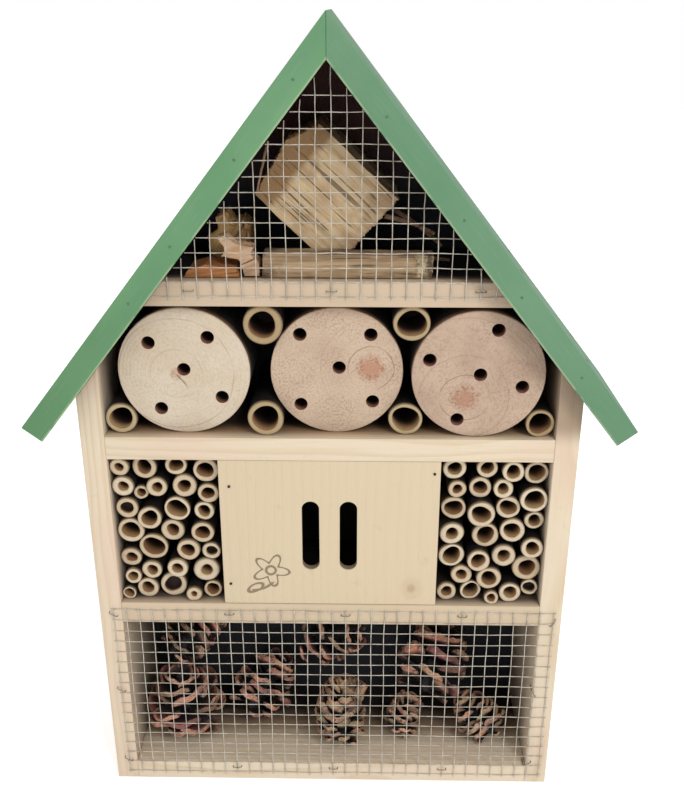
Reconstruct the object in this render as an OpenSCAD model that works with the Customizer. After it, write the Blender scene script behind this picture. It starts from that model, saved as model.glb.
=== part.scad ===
// Insect hotel: a small pine house with a steep green roof. It stands on its side boards.
// Origin: middle of the footprint, on the ground. +Z is up and the front faces -Y.

/* [House] */
// Width over the two side boards (mm)
body_w = 300; // [298:1:306]
// Depth of the body from its front edge to the back of the back panel (mm)
body_d = 87; // [84:1:110]
// Thickness of the side boards and of the dividers (mm)
side_t = 14.5; // [13:0.5:14.5]
// Thickness of the base board and of the shelves (mm)
shelf_t = 15; // [13:0.5:15]
// Thickness of the back panel (mm)
back_t = 4; // [3:0.5:6]

/* [Levels] */
// Height of the underside of the shelf over the cone chamber (mm)
lower_z = 131; // [125:1:131]
// Height of the underside of the shelf over the canes and the panel (mm)
middle_z = 249; // [249:1:255]
// Height of the underside of the attic shelf (mm)
attic_z = 346; // [346:1:350]

/* [Roof] */
// Height of the ridge on the inside of the roof (mm)
ridge_z = 479; // [476:1:485]
// Slope of the roof boards (degrees)
roof_pitch = 51.6; // [50:0.1:52]
// Thickness of the roof boards (mm)
roof_t = 14.5; // [12:0.5:18]
// Width over the two eaves (mm)
roof_span = 360; // [340:1:380]
// How far the roof stands out in front of the body (mm)
overhang = 13; // [8:1:25]

/* [Butterfly panel] */
// Thickness of the panel (mm)
panel_t = 5; // [4:0.5:6]
// Width of the panel (mm)
panel_w = 136; // [134:1:136]
// Width of each entrance slot (mm)
slot_w = 11; // [8:0.5:14]
// Height of each entrance slot (mm)
slot_h = 49; // [30:1:60]
// Distance between the two slots, middle to middle (mm)
slot_pitch = 23.6; // [18:0.2:40]

/* [Drilled logs] */
// Diameter of the logs (mm)
log_d = 79; // [74:0.5:79]
// Length of the logs (mm)
log_len = 73; // [60:1:73]
// Diameter of the nesting holes (mm)
hole_d = 8; // [4:0.5:9]
// Depth of the nesting holes (mm)
hole_depth = 60; // [30:1:65]

/* [Canes] */
// Length of the canes (mm)
cane_len = 74; // [60:1:74]
// Play between neighbouring canes (mm)
cane_gap = 0.15; // [0.1:0.05:0.2]

/* [Wire mesh] */
// Pitch of the square mesh (mm)
mesh_pitch = 8.4; // [8:0.1:8.5]
// Thickness of the wires (mm)
wire_t = 0.7; // [0.6:0.1:1.1]

/* [Fixings] */
// Diameter of the nail shanks (mm)
nail_d = 1.6; // [1.2:0.1:2]
// Diameter of the nail heads (mm)
nail_head_d = 3.2; // [2.6:0.1:4]
// Radius of the hole in the hanger plate (mm)
hanger_hole_r = 4; // [3:0.5:4.5]

/* [Hidden] */
$fn = 48;
eps = 0.01;

half_w = body_w / 2;
in_w = half_w - side_t;
y_back = (body_d + overhang) / 2;
y_front = y_back - body_d;
y_eave = y_front - overhang;
y_in = y_back - back_t;
slope = tan(roof_pitch);
roof_top = ridge_z + roof_t / cos(roof_pitch);
lower_top = lower_z + shelf_t;
middle_top = middle_z + shelf_t;
attic_top = attic_z + shelf_t;
panel_y = y_front + 0.5;
divider_x = panel_w / 2 - side_t;
log_z = middle_top + log_d / 2;

// logs: [x, how far the face stands back, holes as [dx, dz]]
logs = [
  [-86, 7.5, [[-20, 18], [15, 21.5], [0, 1.5], [-15, -23.5], [22, -16]]],
  [4.5, 9.5, [[-21.5, 23], [-21.5, -21], [20, 23], [1.5, 2.5], [21.5, -19]]],
  [88, 4, [[10, 28], [-29, 9.5], [1, 0.5], [26, -7], [-11.5, -28]]]
];

// large canes: [x, 1 = on the shelf or 0 = under the attic shelf, diameter, bore, set back]
large = [
  [-38, 0, 24, 15, 3], [48, 0, 22, 15.5, 4], [-125.5, 1, 19.5, 13, 5],
  [-38, 1, 22.5, 15, 3], [45.8, 1, 21, 15, 5], [126.2, 1, 18, 12.5, 3]
];

// small canes in the order they are laid: [x from the left wall, diameter, bore]
left_canes = [
  [47.5, 10.5, 3.5], [59, 12, 7.5], [17, 14.5, 7.5], [5, 9, 6], [33.5, 18, 10.5],
  [8.5, 11, 6], [20.5, 13.5, 6.5], [55.5, 17.5, 7], [38, 14, 6.5], [7.5, 14, 6.5],
  [59.5, 12.5, 6.5], [45.5, 15.5, 8], [22.5, 19, 12.5], [55, 15, 8.5], [9.5, 17.5, 10.5],
  [35.5, 15.5, 7.5], [22.5, 15.5, 9.5], [56.5, 13.5, 7.5], [39.5, 17, 11.5], [9, 14.5, 7.5],
  [17.5, 9.5, 5], [60, 14, 7.5], [28, 13.5, 6], [45, 16, 7.5], [7.5, 14, 6],
  [59, 16.5, 9.5], [21, 16, 8.5], [6.5, 12.5, 5], [40.5, 14, 8]
];
right_canes = [
  [36, 9.5, 5], [23, 14, 9.5], [7.5, 13, 6.5], [48, 14.5, 8], [61, 11.5, 7],
  [34, 16.5, 9.5], [16.5, 14, 6.5], [58, 18.5, 10], [26.5, 15, 8.5], [43, 16, 7.5],
  [9.5, 17, 11], [60, 14.5, 8], [30.5, 17.5, 10.5], [9, 16, 7.5], [47, 16.5, 9.5],
  [60.5, 13, 7.5], [26.5, 18, 11], [9.5, 16, 10], [43.5, 15.5, 9.5],
  [58.5, 17.5, 11.5], [25.5, 14.5, 8], [11, 12, 5.5], [39.5, 13, 6.5],
  [59.5, 15.5, 10], [44.5, 14, 8], [9, 15, 8], [29, 13.5, 7.5]
];
left_rows = [[0, 4], [5, 9], [10, 14], [15, 19], [20, 24], [25, 28]];
right_rows = [[0, 4], [5, 9], [10, 14], [15, 18], [19, 22], [23, 26]];

// Each cane comes to rest on the shelf or on the canes laid before it.
// The result is a list of [x, z, diameter, bore].
function rest(c, laid) = max(concat([lower_top + c[1] / 2 + cane_gap],
  [for (p = laid) let (reach = (p[2] + c[1]) / 2 + cane_gap, dx = abs(p[0] - c[0]))
    if (dx < reach) p[1] + sqrt(reach * reach - dx * dx)]));
function lay(canes, laid = [], k = 0) = k == len(canes) ? laid :
  lay(canes, concat(laid, [[canes[k][0], rest(canes[k], laid), canes[k][1], canes[k][2]]]), k + 1);
function set_back(i) = 1.5 + 6 * abs(sin(i * 67));
left_laid = lay(left_canes);
right_laid = lay(right_canes);

// pine cones: [middle of the cone, turn, width, height]
cones = [
  [[-103, -8, 44], [62, 0, 12], 56, 58],
  [[-98, 10, 90], [8, 82, 12], 42, 60],
  [[-49, 18, 46], [-24, 14, 0], 48, 62],
  [[7, -10, 45], [-8, 4, 0], 40, 60],
  [[49, -8, 33], [70, 0, -20], 34, 40],
  [[79, 13, 67], [30, 48, 0], 58, 72],
  [[109, -12, 35], [74, 0, 24], 38, 48],
  [[2, 22, 82], [0, 84, 16], 46, 60]
];

// staples: [x, z, turn]
lower_staples_at = [
  [-65.4, 138.5, 0], [10.2, 138.5, 0], [85.8, 138.5, 0], [-65.4, 11.5, 0], [1.8, 11, 0],
  [77.4, 11.5, 0], [-141, 77, 28], [136.2, 77.5, 62], [-141, 137.5, 30], [144.4, 134, -60],
  [-141, 17.5, 30], [136.2, 17.5, -30]
];
attic_staples_at = [[-79, 355.5, 0], [1.9, 355.5, 0], [85.9, 355.5, 0]];

// panel pins: [x, z]; roof brads: how far down the slope from the ridge they sit
panel_pins_at = [[-61.7, 231], [-63.5, 161], [64.3, 240.6]];
left_brads_at = [27, 78, 137, 178];
right_brads_at = [50, 118, 172, 232];
frame_nails_z = [shelf_t / 2, lower_z + shelf_t / 2, middle_z + shelf_t / 2];
nails_y = [y_front + 18, y_in - 18];
edge_x = half_w - side_t / 2;
hanger_z = attic_top + 12;
hanger_screw_z = attic_z + shelf_t / 2;
hanger_screw_x = 9;
hanger_t = 1.5;

// ---- helpers ----
// A drawing in X and Z, made solid from y0 back to y1.
module along_y(y0, y1) {
  translate([0, y1, 0]) rotate([90, 0, 0]) linear_extrude(y1 - y0) children();
}
module rod_y(x, z, d, y0, y1) { translate([x, y1, z]) rotate([90, 0, 0]) cylinder(d = d, h = y1 - y0); }
module board(x0, x1, y0, y1, z0, z1) { translate([x0, y0, z0]) cube([x1 - x0, y1 - y0, z1 - z0]); }

// ---- fixings; each is also cut from the wood it is driven into ----
module nail_x(y, z, side, len = 32) {
  translate([side * half_w, y, z]) rotate([0, -side * 90, 0]) {
    cylinder(d = nail_d, h = len);
    translate([0, 0, -0.2]) cylinder(d = nail_head_d, h = 0.8);
  }
}
module frame_nails() {
  color("Silver") for (side = [-1, 1], z = frame_nails_z, y = nails_y) nail_x(y, z, side);
}
module back_panel_nails() {
  at = concat([for (s = [-1, 1], z = [24, 96, 178]) [s * edge_x, z]],
    [for (x = [-72, 72], z = frame_nails_z) [x, z]], [for (x = [-50, 50]) [x, attic_z + shelf_t / 2]]);
  color("DimGray") for (p = at) {
    rod_y(p[0], p[1], 1.4, y_back - 22, y_back - 0.2);
    rod_y(p[0], p[1], 3, y_back - 0.6, y_back);
  }
}
module panel_pins() {
  color("DimGray") for (p = panel_pins_at) {
    rod_y(p[0], p[1], 1.2, panel_y, panel_y + 16);
    rod_y(p[0], p[1], 1.8, panel_y - 0.4, panel_y + 0.1);
  }
}
module roof_brads() {
  color("DarkSlateGray") {
    for (s = left_brads_at) brad(-1, s);
    for (s = right_brads_at) brad(1, s);
  }
}
module brad(side, s) {
  mid_z = (ridge_z + roof_top) / 2;
  rod_y(side * s * cos(roof_pitch), mid_z - s * sin(roof_pitch), 1.6, y_eave, y_eave + 15);
}
module roof_nails() {
  at = [half_w - side_t / 2, (ridge_z - attic_z - shelf_t / 2) / slope];
  color("DarkSlateGray") for (side = [-1, 1], x = at, y = nails_y)
    translate([side * (x + roof_t * sin(roof_pitch)), y, ridge_z - x * slope + roof_t * cos(roof_pitch)])
      rotate([0, side * (180 + roof_pitch), 0]) {
        cylinder(d = nail_d, h = roof_t + 8);
        translate([0, 0, -0.2]) cylinder(d = nail_head_d, h = 0.8);
      }
}
module staple(x, z, turn) {
  translate([x, y_front - 2 * wire_t - 0.1, z]) rotate([0, turn, 0]) {
    translate([-4, -0.6, -0.5]) cube([8, 0.6, 1]);
    for (s = [-1, 1]) translate([s * 3.5 - 0.5, -0.6, -0.5]) cube([1, 2 * wire_t + 6.6, 1]);
  }
}
module lower_mesh_staples() {
  color("LightGray") for (p = lower_staples_at) staple(p[0], p[1], p[2]);
}
module attic_mesh_staples() {
  color("LightGray") for (p = attic_staples_at) staple(p[0], p[1], p[2]);
}

// ---- boards of the house ----
module side_board(side) {
  color("BurlyWood") difference() {
    along_y(y_front, y_in) polygon([
      [side * in_w, 0], [side * half_w, 0],
      [side * half_w, ridge_z - half_w * slope], [side * in_w, ridge_z - in_w * slope]
    ]);
    frame_nails();
    roof_nails();
    back_panel_nails();
    lower_mesh_staples();
  }
}
module left_side_board() { side_board(-1); }
module right_side_board() { side_board(1); }

module shelf(z) {
  color("BurlyWood") difference() {
    board(-in_w, in_w, y_front, y_in, z, z + shelf_t);
    frame_nails();
    back_panel_nails();
    lower_mesh_staples();
  }
}
module base_board() { shelf(0); }
module lower_shelf() { shelf(lower_z); }
module middle_shelf() { shelf(middle_z); }

module attic_shelf() {
  lo = (ridge_z - attic_z) / slope;
  hi = (ridge_z - attic_top) / slope;
  color("BurlyWood") difference() {
    along_y(y_front, y_in) polygon([[-lo, attic_z], [lo, attic_z], [hi, attic_top], [-hi, attic_top]]);
    attic_mesh_staples();
    roof_nails();
    back_panel_nails();
    hanger_screws();
  }
}

module back_panel() {
  color("#4a3a30") difference() {
    along_y(y_in, y_back) polygon([
      [-half_w, 0], [half_w, 0], [half_w, ridge_z - half_w * slope], [0, ridge_z],
      [-half_w, ridge_z - half_w * slope]
    ]);
    back_panel_nails();
    hanger_screws();
    along_y(y_back - hanger_t, y_back + eps) hanger_outline();
    rod_y(0, hanger_z, 2 * hanger_hole_r + 3, y_in - eps, y_back);
  }
}

module divider(side) {
  color("BurlyWood") difference() {
    board(side > 0 ? divider_x : -divider_x - side_t, side > 0 ? divider_x + side_t : -divider_x,
      panel_y + panel_t, y_in, lower_top, middle_z);
    panel_pins();
  }
}
module left_divider() { divider(-1); }
module right_divider() { divider(1); }

module butterfly_panel() {
  slot_z = (lower_top + middle_z) / 2 - 1;
  color("Wheat") difference() {
    board(-panel_w / 2, panel_w / 2, panel_y, panel_y + panel_t, lower_top + 0.2, middle_z - 0.2);
    for (s = [-1, 1]) translate([s * slot_pitch / 2, 0, slot_z])
      along_y(panel_y - eps, panel_y + panel_t + eps) {
        square([slot_w, slot_h - slot_w], center = true);
        for (e = [-1, 1]) translate([0, e * (slot_h - slot_w) / 2]) circle(d = slot_w);
      }
    panel_pins();
  }
}

// ---- roof ----
module roof_board(side) {
  eave_z = roof_top - roof_span / 2 * slope;
  color("#7fae84") difference() {
    along_y(y_eave, y_back) polygon([
      [0, ridge_z], [0, roof_top], [side * roof_span / 2, eave_z],
      [side * (roof_span / 2 - roof_t * sin(roof_pitch)), eave_z - roof_t * cos(roof_pitch)]
    ]);
    roof_brads();
    roof_nails();
  }
}
module left_roof_board() { roof_board(-1); }
module right_roof_board() { roof_board(1); }

// ---- logs and canes ----
module drilled_log(i) {
  y0 = y_front + logs[i][1];
  color("#d9b98c") difference() {
    rod_y(logs[i][0], log_z, log_d, y0, y0 + log_len);
    for (h = logs[i][2]) rod_y(logs[i][0] + h[0], log_z + h[1], hole_d, y0 - eps, y0 + hole_depth);
  }
}
module left_log() { drilled_log(0); }
module middle_log() { drilled_log(1); }
module right_log() { drilled_log(2); }

module tube(x, z, d, bore, y0) {
  difference() {
    rod_y(x, z, d, y0, y0 + cane_len);
    rod_y(x, z, bore, y0 - eps, y0 + cane_len + eps);
  }
}
module large_cane(i) {
  c = large[i];
  z = c[1] == 1 ? middle_top + c[2] / 2 : attic_z - c[2] / 2 - 0.2;
  color("#cdb98a") tube(c[0], z, c[2], c[3], y_front + c[4]);
}
module top_left_large_cane() { large_cane(0); }
module top_right_large_cane() { large_cane(1); }
module bottom_left_large_cane() { large_cane(2); }
module bottom_inner_left_large_cane() { large_cane(3); }
module bottom_inner_right_large_cane() { large_cane(4); }
module bottom_right_large_cane() { large_cane(5); }

module cane_row(laid, row, wall_x) {
  color("#cdb98a") for (i = [row[0]:row[1]])
    tube(wall_x + laid[i][0], laid[i][1], laid[i][2], laid[i][3], y_front + set_back(i));
}
module left_canes(r) { cane_row(left_laid, left_rows[r], -in_w); }
module right_canes(r) { cane_row(right_laid, right_rows[r], panel_w / 2); }
module left_canes_row_1() { left_canes(0); }
module left_canes_row_2() { left_canes(1); }
module left_canes_row_3() { left_canes(2); }
module left_canes_row_4() { left_canes(3); }
module left_canes_row_5() { left_canes(4); }
module left_canes_row_6() { left_canes(5); }
module right_canes_row_1() { right_canes(0); }
module right_canes_row_2() { right_canes(1); }
module right_canes_row_3() { right_canes(2); }
module right_canes_row_4() { right_canes(3); }
module right_canes_row_5() { right_canes(4); }
module right_canes_row_6() { right_canes(5); }

// ---- pine cones: rings of scales turned about the cone's own axis ----
function girth(t) = sin(28 + 147 * pow(t, 0.75));
module pine_cone(i) {
  c = cones[i];
  rings = 7;
  step = c[3] / rings;
  outline = concat([[0, 0]], [for (k = [0:rings - 1]) for (p = [[0.62, 0], [1, 0.55]])
    [p[0] * c[2] / 2 * girth((k + p[1]) / rings), (k + p[1]) * step]], [[0, c[3]]]);
  color("#7a5140") translate(c[0]) rotate(c[1]) translate([0, 0, -c[3] / 2])
    rotate_extrude($fn = 24) polygon(outline);
}
module front_left_pine_cone() { pine_cone(0); }
module upper_left_pine_cone() { pine_cone(1); }
module left_middle_pine_cone() { pine_cone(2); }
module front_middle_pine_cone() { pine_cone(3); }
module small_pine_cone() { pine_cone(4); }
module large_right_pine_cone() { pine_cone(5); }
module front_right_pine_cone() { pine_cone(6); }
module back_middle_pine_cone() { pine_cone(7); }

// ---- attic filling ----
module split_wood_block() {
  color("#d8c49a") along_y(-16, 30) polygon([
    [-4, 445.5], [41, 403], [2.6, attic_top], [-43, 405], [-24, 436]
  ]);
}
module flat_wood_slab() {
  color("#c9b48c") along_y(-32, -17)
    polygon([[-38, attic_top], [59, attic_top], [59.5, 374.5], [-37, 376]]);
}
module orange_wood_chip() {
  color("#c88b4c") along_y(-31, -9)
    polygon([[-83, attic_top], [-50, attic_top], [-52, 367], [-70, 369], [-80, 366]]);
}
module split_wood_chip() {
  color("#d9bf94") along_y(-30, -17) polygon([
    [-48, attic_top], [-38.5, attic_top], [-38.5, 381], [-46, 386], [-64, 383], [-60, 376], [-49, 368]
  ]);
}
module bark_piece() {
  color("#9a7550") along_y(-6, 22)
    polygon([[-74, attic_top], [-46, attic_top], [-50, 388], [-58, 398], [-66, 388]]);
}
module thin_sticks() {
  color("#b79a68") for (k = [0:2])
    translate([44 + 4 * k, -8 + 9 * k, attic_top + 3]) rotate([0, 52 - 9 * k, 8 * k])
      cylinder(d = 4 - 0.5 * k, h = 34 - 3 * k, center = true);
  color("#b79a68") translate([-37, -20.5, 423.5]) rotate([0, 31.3, 0])
    cylinder(d = 1.8, h = 27, center = true);
}

// ---- wire meshes: upright wires laid over level wires and welded where they cross ----
level_y = y_front - wire_t / 2;
upright_y = y_front - 1.5 * wire_t - 0.02;
module level_wire(x0, x1, z) {
  translate([x0, level_y, z]) rotate([0, 90, 0]) cylinder(d = wire_t, h = x1 - x0, $fn = 16);
}
module upright_wire(x, z0, z1) {
  translate([x, upright_y, z0]) cylinder(d = wire_t, h = z1 - z0, $fn = 16);
}
module lower_wire_mesh() {
  x0 = -141;
  z0 = 6.5;
  tail = 1.5;
  color("Silver") {
    for (i = [0:34]) upright_wire(x0 + i * mesh_pitch, z0 - tail, z0 + 16 * mesh_pitch + tail);
    for (k = [0:16]) level_wire(x0 - tail, x0 + 34 * mesh_pitch + tail, z0 + k * mesh_pitch);
  }
}
module attic_wire_mesh() {
  top = ridge_z - 1.2;
  low = 350.4;
  color("Silver") {
    for (i = [-11:11]) let (x = 1.9 + i * mesh_pitch)
      upright_wire(x, low, top - abs(x) * slope);
    for (k = [0:13]) let (z = low + 1.5 + k * mesh_pitch, reach = (top - z) / slope)
      level_wire(-reach, reach, z);
  }
}

// ---- hanger on the back: a plate let in flush, screwed to the edge of the attic shelf ----
module hanger_outline() {
  circle_d = 2 * hanger_hole_r + 8;
  translate([0, hanger_z]) circle(d = circle_d);
  translate([-circle_d / 2, hanger_screw_z]) square([circle_d, hanger_z - hanger_screw_z]);
  translate([0, hanger_screw_z]) square([2 * hanger_screw_x, 12], center = true);
  for (s = [-1, 1]) translate([s * hanger_screw_x, hanger_screw_z]) circle(d = 12);
}
module hanger_plate() {
  color("Silver") difference() {
    along_y(y_back - hanger_t, y_back) hanger_outline();
    rod_y(0, hanger_z, 2 * hanger_hole_r, y_back - 2, y_back + 1);
    hanger_screws();
  }
}
module hanger_screws() {
  color("Gray") for (s = [-1, 1])
    translate([s * hanger_screw_x, y_back, hanger_screw_z]) rotate([90, 0, 0]) {
      cylinder(d1 = 6.4, d2 = 3, h = 1.7);
      cylinder(d = 3, h = 20);
    }
}

left_side_board();
right_side_board();
base_board();
lower_shelf();
middle_shelf();
attic_shelf();
back_panel();
left_divider();
right_divider();
butterfly_panel();
left_roof_board();
right_roof_board();
left_log();
middle_log();
right_log();
top_left_large_cane();
top_right_large_cane();
bottom_left_large_cane();
bottom_inner_left_large_cane();
bottom_inner_right_large_cane();
bottom_right_large_cane();
left_canes_row_1();
left_canes_row_2();
left_canes_row_3();
left_canes_row_4();
left_canes_row_5();
left_canes_row_6();
right_canes_row_1();
right_canes_row_2();
right_canes_row_3();
right_canes_row_4();
right_canes_row_5();
right_canes_row_6();
front_left_pine_cone();
upper_left_pine_cone();
left_middle_pine_cone();
front_middle_pine_cone();
small_pine_cone();
large_right_pine_cone();
front_right_pine_cone();
back_middle_pine_cone();
split_wood_block();
flat_wood_slab();
orange_wood_chip();
split_wood_chip();
bark_piece();
thin_sticks();
lower_wire_mesh();
attic_wire_mesh();
lower_mesh_staples();
attic_mesh_staples();
panel_pins();
roof_brads();
roof_nails();
frame_nails();
back_panel_nails();
hanger_plate();
hanger_screws();
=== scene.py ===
import math
import random

import bpy
import numpy as np
from mathutils import Matrix, Vector, noise


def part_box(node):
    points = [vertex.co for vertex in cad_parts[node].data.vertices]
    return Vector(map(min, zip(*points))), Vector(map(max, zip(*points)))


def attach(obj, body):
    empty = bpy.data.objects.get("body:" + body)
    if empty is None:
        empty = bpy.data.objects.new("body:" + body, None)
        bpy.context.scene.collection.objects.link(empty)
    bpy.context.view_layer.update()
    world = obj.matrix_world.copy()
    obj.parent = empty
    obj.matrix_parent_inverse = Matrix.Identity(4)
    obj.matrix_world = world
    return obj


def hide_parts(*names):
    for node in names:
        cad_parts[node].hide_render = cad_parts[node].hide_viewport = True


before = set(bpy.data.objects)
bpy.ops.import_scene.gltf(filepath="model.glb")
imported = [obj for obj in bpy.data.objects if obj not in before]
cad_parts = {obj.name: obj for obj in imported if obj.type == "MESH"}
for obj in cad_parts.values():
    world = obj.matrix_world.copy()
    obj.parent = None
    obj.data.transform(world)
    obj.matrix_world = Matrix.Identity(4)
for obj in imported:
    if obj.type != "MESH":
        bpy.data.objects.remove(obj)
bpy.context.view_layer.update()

# ---- Side boards ----
# Two planed pine boards stand on the ground and carry the house. Their top ends are sawn to
# the slope of the roof, and the shelves are nailed between them through the outer faces.

ROOF_SLOPE = math.tan(math.radians(51.6))
ROOF_ANGLE = math.atan(ROOF_SLOPE)
BOARD_ROUNDING = 0.0006
STUDIO_LIGHT = 1.6
BODY_FRONT, ROOF_FRONT, INNER_HALF = -0.037, -0.05, 0.135


def rgb(red, green, blue):
    """The paint that looks like this display colour, 0 to 255, in the light of the studio."""
    lifted = [(c / 255 + 0.055) / 1.055 for c in (red, green, blue)]
    paint = [c ** 2.4 if c > 0.0905 else (c * 1.055 - 0.055) / 12.92 for c in lifted]
    return tuple(c / STUDIO_LIGHT for c in paint) + (1.0,)


class Mark:
    """The output of a shader node, for use in plain arithmetic."""

    def __init__(self, finish, socket):
        self.finish, self.socket = finish, socket

    def math(self, operation, *others):
        return self.finish.node("ShaderNodeMath", {"operation": operation}, [self, *others])

    def __add__(self, other):
        return self.math("ADD", other)

    def __mul__(self, other):
        return self.math("MULTIPLY", other)

    def __sub__(self, other):
        return self.math("SUBTRACT", other)

    def __truediv__(self, other):
        return self.math("DIVIDE", other)

    def __rsub__(self, other):
        return self.finish.node("ShaderNodeMath", {"operation": "SUBTRACT"}, [other, self])

    __radd__, __rmul__ = __add__, __mul__

    def band(self, low, high):
        """0 below low, 1 above high, and smooth between them."""
        return self.finish.node(
            "ShaderNodeMapRange", {"interpolation_type": "SMOOTHSTEP"}, [self, low, high, 0.0, 1.0])

    def fade(self, low, high):
        """1 below low, 0 above high, and smooth between them."""
        return 1.0 - self.band(low, high)


class Finish:
    """One procedural surface. Patterns are laid out in metres on Object coordinates."""

    def __init__(self, name):
        self.material = bpy.data.materials.new(name)
        self.material.use_nodes = True
        self.tree = self.material.node_tree
        self.shader = self.tree.nodes["Principled BSDF"]
        self.place = self.node("ShaderNodeTexCoord", out="Object")
        self.x, self.y, self.z = [
            self.node("ShaderNodeSeparateXYZ", {}, [self.place], out=i) for i in range(3)]

    def node(self, kind, settings=None, sockets=(), out=0):
        made = self.tree.nodes.new(kind)
        for key, value in (settings or {}).items():
            if key == "stops":
                for stop, (position, colour) in zip(made.color_ramp.elements, value):
                    stop.position, stop.color = position, colour
            else:
                setattr(made, key, value)
        for key, value in (sockets.items() if isinstance(sockets, dict) else enumerate(sockets)):
            if isinstance(value, Mark):
                self.tree.links.new(value.socket, made.inputs[key])
            else:
                made.inputs[key].default_value = value
        return Mark(self, made.outputs[out])

    def attribute(self, name):
        return self.node("ShaderNodeAttribute", {"attribute_name": name}, out="Fac")

    def point(self, x, y, z):
        return self.node("ShaderNodeCombineXYZ", {}, [x, y, z])

    def stretch(self, amounts, shift=(0, 0, 0)):
        moved = self.node("ShaderNodeVectorMath", {"operation": "ADD"}, [self.place, shift])
        return self.node("ShaderNodeVectorMath", {"operation": "MULTIPLY"}, [moved, amounts])

    def noise(self, scale, detail=3.0, roughness=0.55, at=None, warp=0.0):
        return self.node("ShaderNodeTexNoise", {}, {
            "Vector": at or self.place, "Scale": scale, "Detail": detail, "Roughness": roughness,
            "Distortion": warp})

    def cells(self, scale):
        return self.node("ShaderNodeTexVoronoi", {}, {"Vector": self.place, "Scale": scale},
                         out="Distance")

    def mix(self, share, first, second):
        """A colour between first and second."""
        return self.node("ShaderNodeMix", {"data_type": "RGBA"}, {0: share, 6: first, 7: second},
                         out=2)

    def done(self, colour, rough=0.6, height=None, depth=0.0003, metal=None):
        """Joins the finished patterns to the shader and gives back the material."""
        sockets = self.shader.inputs
        for name, value in (("Base Color", colour), ("Roughness", rough), ("Metallic", metal)):
            if isinstance(value, Mark):
                self.tree.links.new(value.socket, sockets[name])
            elif value is not None:
                sockets[name].default_value = value
        if height is not None:
            bump = self.node("ShaderNodeBump", {}, {"Distance": depth, "Height": height})
            self.tree.links.new(bump.socket, sockets["Normal"])
        return self.material


def distance(*offsets):
    """Length of a vector given as two or three marks."""
    total = offsets[0] * offsets[0]
    for offset in offsets[1:]:
        total = total + offset * offset
    return total.math("SQRT")


def pine(name, along, heart, pale=rgb(240, 222, 194), late=rgb(220, 192, 152), ring=0.0032,
         blush=0.3, figure=0.42, knot=None, extra=None):
    """Planed pine: rings about a heart line that runs along axis number along."""
    f = Finish(name)
    slow = [26.0, 26.0, 26.0]
    slow[along] = 5.0
    fine = [900.0, 900.0, 900.0]
    fine[along] = 38.0
    across = [(f.x, f.y, f.z)[i] for i in range(3) if i != along]
    sway = f.noise(1.0, 2.0, at=f.stretch(slow)) - 0.5
    drift = f.noise(1.0, 2.0, at=f.stretch(slow, (0.37, 0.11, 0.23))) - 0.5
    radius = distance(across[0] - heart[0] + sway * 0.012, across[1] - heart[1] + drift * 0.012)
    turn = (radius / ring).math("FRACT")
    latewood = turn.band(0.35, 0.88) * turn.fade(0.9, 1.0)
    fibre = f.noise(1.0, 3.0, 0.6, at=f.stretch(fine))
    cloud = f.noise(16.0, 2.0)
    colour = f.mix(latewood * figure + fibre.band(0.5, 0.78) * (0.1 + figure * 0.4), pale, late)
    colour = f.mix(cloud.band(0.42, 0.72) * blush, colour, rgb(236, 204, 180))
    dirt = f.noise(70.0, 4.0, 0.7).band(0.62, 0.8)
    colour = f.mix(dirt * 0.16, colour, rgb(150, 122, 90))
    height = latewood * 0.35 + fibre * 0.65
    for (kx, ky, kz), size in (knot or []):
        away = distance(f.x - kx, f.y - ky, (f.z - kz) * 0.8) + (cloud - 0.5) * 0.004
        core = away.fade(size * 0.35, size)
        rim = away.band(size * 0.5, size) * away.fade(size, size * 2.2)
        colour = f.mix(rim * 0.25, colour, rgb(205, 170, 128))
        colour = f.mix(core * 0.45, colour, rgb(164, 122, 84))
    if extra:
        colour, height = extra(f, colour, height)
    return f.done(colour, 0.62 + 0.16 * fibre, height, 0.00022)


def deselect():
    bpy.ops.object.select_all(action="DESELECT")


def only(piece):
    """Makes the piece the only one selected, and the active one."""
    deselect()
    piece.select_set(True)
    bpy.context.view_layer.objects.active = piece
    return piece


def settle():
    """Takes the place, turn and size of what is selected into its mesh."""
    bpy.ops.object.transform_apply(location=True, rotation=True, scale=True)


def add_piece(name, data):
    piece = bpy.data.objects.new(name, data)
    bpy.context.scene.collection.objects.link(piece)
    return piece


def mode(name):
    bpy.ops.object.mode_set(mode=name)


def cylinder(vertices, radius, depth, place):
    """A cylinder along Y with its middle at place."""
    deselect()
    bpy.ops.mesh.primitive_cylinder_add(vertices=vertices, radius=radius, depth=depth,
                                        location=place, rotation=(math.pi / 2, 0, 0))
    settle()
    return bpy.context.object


def apply_modifier(piece, kind, **settings):
    only(piece)
    modifier = piece.modifiers.new(kind.lower(), kind)
    for key, value in settings.items():
        setattr(modifier, key, value)
    bpy.ops.object.modifier_apply(modifier=modifier.name)
    return piece


def fit_in(piece, material, slot, *nodes):
    """Ties a finished piece to the frame in place of the CAD nodes that it stands for."""
    only(piece)
    settle()
    piece.data.name = piece.name
    piece.data.materials.clear()
    for finish in material if isinstance(material, list) else [material]:
        piece.data.materials.append(finish)
    bpy.ops.object.shade_smooth_by_angle(angle=math.radians(32))
    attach(piece, "root")
    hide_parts(*nodes)
    deselect()
    return piece


def plank(name, corners, front, back, rounding=BOARD_ROUNDING):
    """A sawn board between front and back. Its corners in X and Z start at the lower left."""
    deselect()
    bpy.ops.mesh.primitive_cube_add(size=1)
    board = bpy.context.object
    board.name = name
    for v in board.data.vertices:
        left, low = v.co.x < 0, v.co.z < 0
        x, z = corners[(0 if low else 3) if left else (1 if low else 2)]
        v.co = (x, front if v.co.y < 0 else back, z)
    return apply_modifier(board, "BEVEL", width=rounding, segments=3, limit_method="ANGLE")


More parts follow.
